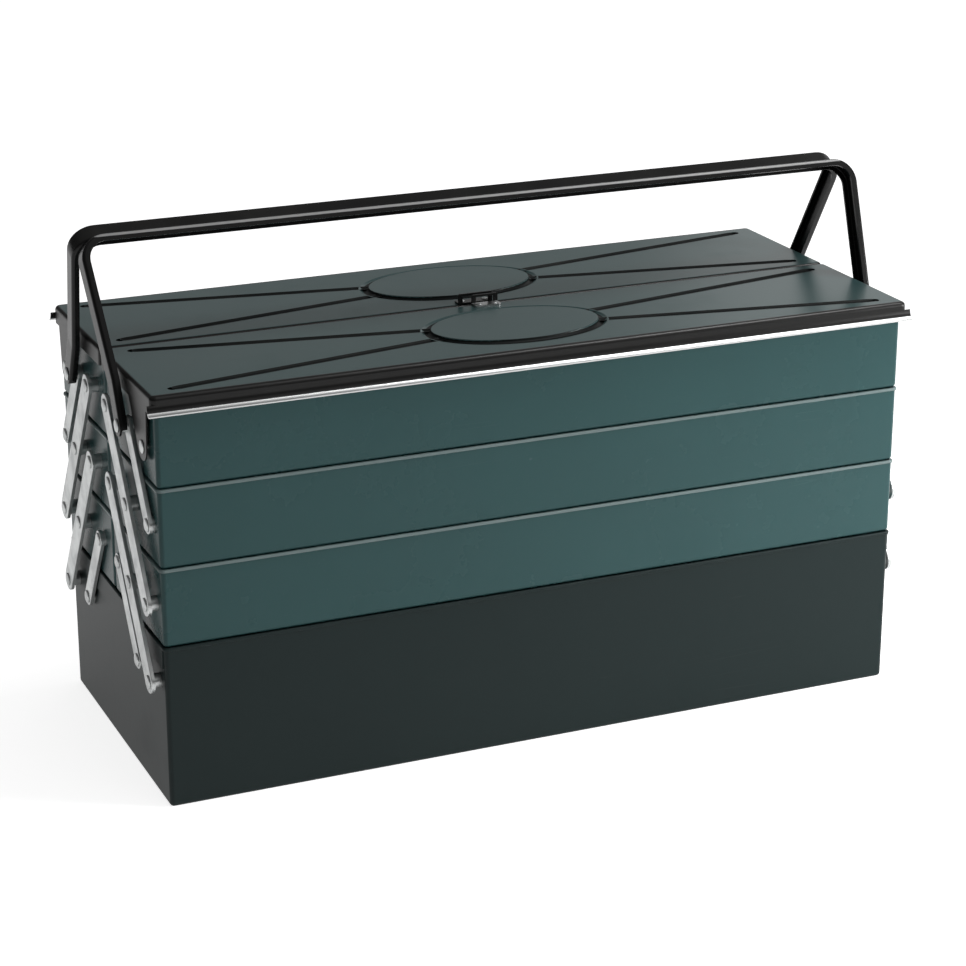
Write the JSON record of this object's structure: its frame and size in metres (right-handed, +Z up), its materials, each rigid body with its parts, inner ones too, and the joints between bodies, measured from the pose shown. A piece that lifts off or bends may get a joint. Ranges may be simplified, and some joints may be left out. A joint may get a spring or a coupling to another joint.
{
  "type": "cantilever toolbox",
  "caption": "Sheet-steel cantilever toolbox: a deep bottom tray, tiers of paired trays on end link bars, hinged lids and carrying bows.",
  "frame": {"origin": "centre of the bottom tray's underside", "axes": "+X along the box to the right seen from the front, +Y from front to rear, +Z up"},
  "size_m": [0.5616, 0.234, 0.357],
  "materials": {
    "black_paint": "semi-gloss black enamel",
    "tray_paint": "semi-gloss petrol green enamel",
    "lid_paint": "semi-gloss petrol green enamel, black edge",
    "bow_paint": "gloss black enamel",
    "zinc_plate": "bright zinc plate"
  },
  "bodies": {
    "base": {"bottom_tray": "black_paint", "bottom_tray_rivets": "zinc_plate", "bottom_tray_spacers": "zinc_plate"},
    "lower_long_links_front": {"lower_long_link_left_front": "zinc_plate", "lower_long_link_right_front": "zinc_plate"},
    "upper_long_links_front": {"upper_long_link_left_front": "zinc_plate", "upper_long_link_right_front": "zinc_plate"},
    "lower_short_links_front": {"lower_short_link_left_front": "zinc_plate", "lower_short_link_right_front": "zinc_plate"},
    "upper_short_links_front": {"upper_short_link_left_front": "zinc_plate", "upper_short_link_right_front": "zinc_plate"},
    "lower_tray_front": {"lower_tray_front": "tray_paint", "lower_tray_rivets_front": "zinc_plate", "lower_tray_spacers_front": "zinc_plate"},
    "middle_tray_front": {"middle_tray_front": "tray_paint", "middle_tray_rivets_front": "zinc_plate", "middle_tray_spacers_front": "zinc_plate"},
    "top_tray_front": {"top_tray_front": "tray_paint", "top_tray_rivets_front": "zinc_plate", "top_tray_spacers_front": "zinc_plate", "lid_rivets_front": "zinc_plate"},
    "lid_front": {"lid_front": "lid_paint", "padlock_eye_front": "zinc_plate", "padlock_eye_rivets_front": "zinc_plate"},
    "carrying_bow_front": {"carrying_bow_front": "bow_paint"},
    "lower_long_links_rear": {"lower_long_link_left_rear": "zinc_plate", "lower_long_link_right_rear": "zinc_plate"},
    "upper_long_links_rear": {"upper_long_link_left_rear": "zinc_plate", "upper_long_link_right_rear": "zinc_plate"},
    "lower_short_links_rear": {"lower_short_link_left_rear": "zinc_plate", "lower_short_link_right_rear": "zinc_plate"},
    "upper_short_links_rear": {"upper_short_link_left_rear": "zinc_plate", "upper_short_link_right_rear": "zinc_plate"},
    "lower_tray_rear": {"lower_tray_rear": "tray_paint", "lower_tray_rivets_rear": "zinc_plate", "lower_tray_spacers_rear": "zinc_plate"},
    "middle_tray_rear": {"middle_tray_rear": "tray_paint", "middle_tray_rivets_rear": "zinc_plate", "middle_tray_spacers_rear": "zinc_plate"},
    "top_tray_rear": {"top_tray_rear": "tray_paint", "top_tray_rivets_rear": "zinc_plate", "top_tray_spacers_rear": "zinc_plate", "lid_rivets_rear": "zinc_plate"},
    "lid_rear": {"lid_rear": "lid_paint", "padlock_eye_rear": "black_paint", "padlock_eye_rivets_rear": "zinc_plate"},
    "carrying_bow_rear": {"carrying_bow_rear": "bow_paint"}
  },
  "joints": [
    {"name": "front_opening", "type": "hinge", "parent": "base", "child": "lower_long_links_front", "pos_m": [0, -0.0963, 0.0843], "axis": [1, 0, 0], "range_deg": [0, 67.5]},
    {"name": "front_lower_tray_swing", "type": "hinge", "parent": "lower_long_links_front", "child": "lower_tray_front", "pos_m": [0, -0.0595, 0.1393], "axis": [1, 0, 0], "range_deg": [-67.5, 0]},
    {"name": "front_middle_tray_swing", "type": "hinge", "parent": "lower_long_links_front", "child": "middle_tray_front", "pos_m": [0, -0.0227, 0.1943], "axis": [1, 0, 0], "range_deg": [-67.5, 0]},
    {"name": "front_lower_short_link_swing", "type": "hinge", "parent": "base", "child": "lower_short_links_front", "pos_m": [0, -0.0595, 0.0843], "axis": [1, 0, 0], "range_deg": [0, 67.5]},
    {"name": "front_upper_long_link_swing", "type": "hinge", "parent": "lower_tray_front", "child": "upper_long_links_front", "pos_m": [0, -0.0963, 0.1373], "axis": [1, 0, 0], "range_deg": [0, 67.5]},
    {"name": "front_top_tray_swing", "type": "hinge", "parent": "upper_long_links_front", "child": "top_tray_front", "pos_m": [0, -0.0227, 0.2473], "axis": [1, 0, 0], "range_deg": [-67.5, 0]},
    {"name": "front_upper_short_link_swing", "type": "hinge", "parent": "middle_tray_front", "child": "upper_short_links_front", "pos_m": [0, -0.0963, 0.1903], "axis": [1, 0, 0], "range_deg": [0, 67.5]},
    {"name": "front_lid_hinge", "type": "hinge", "parent": "top_tray_front", "child": "lid_front", "pos_m": [0, -0.09, 0.24], "axis": [1, 0, 0], "range_deg": [0, 95]},
    {"name": "front_bow_hinge", "type": "hinge", "parent": "top_tray_front", "child": "carrying_bow_front", "pos_m": [0, -0.0595, 0.2453], "axis": [1, 0, 0], "range_deg": [0, 174]},
    {"name": "rear_opening", "type": "hinge", "parent": "base", "child": "lower_long_links_rear", "pos_m": [0, 0.0963, 0.0843], "axis": [-1, 0, 0], "range_deg": [0, 67.5]},
    {"name": "rear_lower_tray_swing", "type": "hinge", "parent": "lower_long_links_rear", "child": "lower_tray_rear", "pos_m": [0, 0.0595, 0.1393], "axis": [-1, 0, 0], "range_deg": [-67.5, 0]},
    {"name": "rear_middle_tray_swing", "type": "hinge", "parent": "lower_long_links_rear", "child": "middle_tray_rear", "pos_m": [0, 0.0227, 0.1943], "axis": [-1, 0, 0], "range_deg": [-67.5, 0]},
    {"name": "rear_lower_short_link_swing", "type": "hinge", "parent": "base", "child": "lower_short_links_rear", "pos_m": [0, 0.0595, 0.0843], "axis": [-1, 0, 0], "range_deg": [0, 67.5]},
    {"name": "rear_upper_long_link_swing", "type": "hinge", "parent": "lower_tray_rear", "child": "upper_long_links_rear", "pos_m": [0, 0.0963, 0.1373], "axis": [-1, 0, 0], "range_deg": [0, 67.5]},
    {"name": "rear_top_tray_swing", "type": "hinge", "parent": "upper_long_links_rear", "child": "top_tray_rear", "pos_m": [0, 0.0227, 0.2473], "axis": [-1, 0, 0], "range_deg": [-67.5, 0]},
    {"name": "rear_upper_short_link_swing", "type": "hinge", "parent": "middle_tray_rear", "child": "upper_short_links_rear", "pos_m": [0, 0.0963, 0.1903], "axis": [-1, 0, 0], "range_deg": [0, 67.5]},
    {"name": "rear_lid_hinge", "type": "hinge", "parent": "top_tray_rear", "child": "lid_rear", "pos_m": [0, 0.09, 0.24], "axis": [-1, 0, 0], "range_deg": [0, 95]},
    {"name": "rear_bow_hinge", "type": "hinge", "parent": "top_tray_rear", "child": "carrying_bow_rear", "pos_m": [0, 0.0595, 0.2453], "axis": [-1, 0, 0], "range_deg": [0, 174]}
  ],
  "couplings": [
    {"joint": "front_lower_tray_swing", "follows": "front_opening", "ratio": -1},
    {"joint": "front_middle_tray_swing", "follows": "front_opening", "ratio": -1},
    {"joint": "front_lower_short_link_swing", "follows": "front_opening", "ratio": 1},
    {"joint": "front_upper_long_link_swing", "follows": "front_opening", "ratio": 1},
    {"joint": "front_top_tray_swing", "follows": "front_opening", "ratio": -1},
    {"joint": "front_upper_short_link_swing", "follows": "front_opening", "ratio": 1},
    {"joint": "rear_lower_tray_swing", "follows": "rear_opening", "ratio": -1},
    {"joint": "rear_middle_tray_swing", "follows": "rear_opening", "ratio": -1},
    {"joint": "rear_lower_short_link_swing", "follows": "rear_opening", "ratio": 1},
    {"joint": "rear_upper_long_link_swing", "follows": "rear_opening", "ratio": 1},
    {"joint": "rear_top_tray_swing", "follows": "rear_opening", "ratio": -1},
    {"joint": "rear_upper_short_link_swing", "follows": "rear_opening", "ratio": 1}
  ]
}
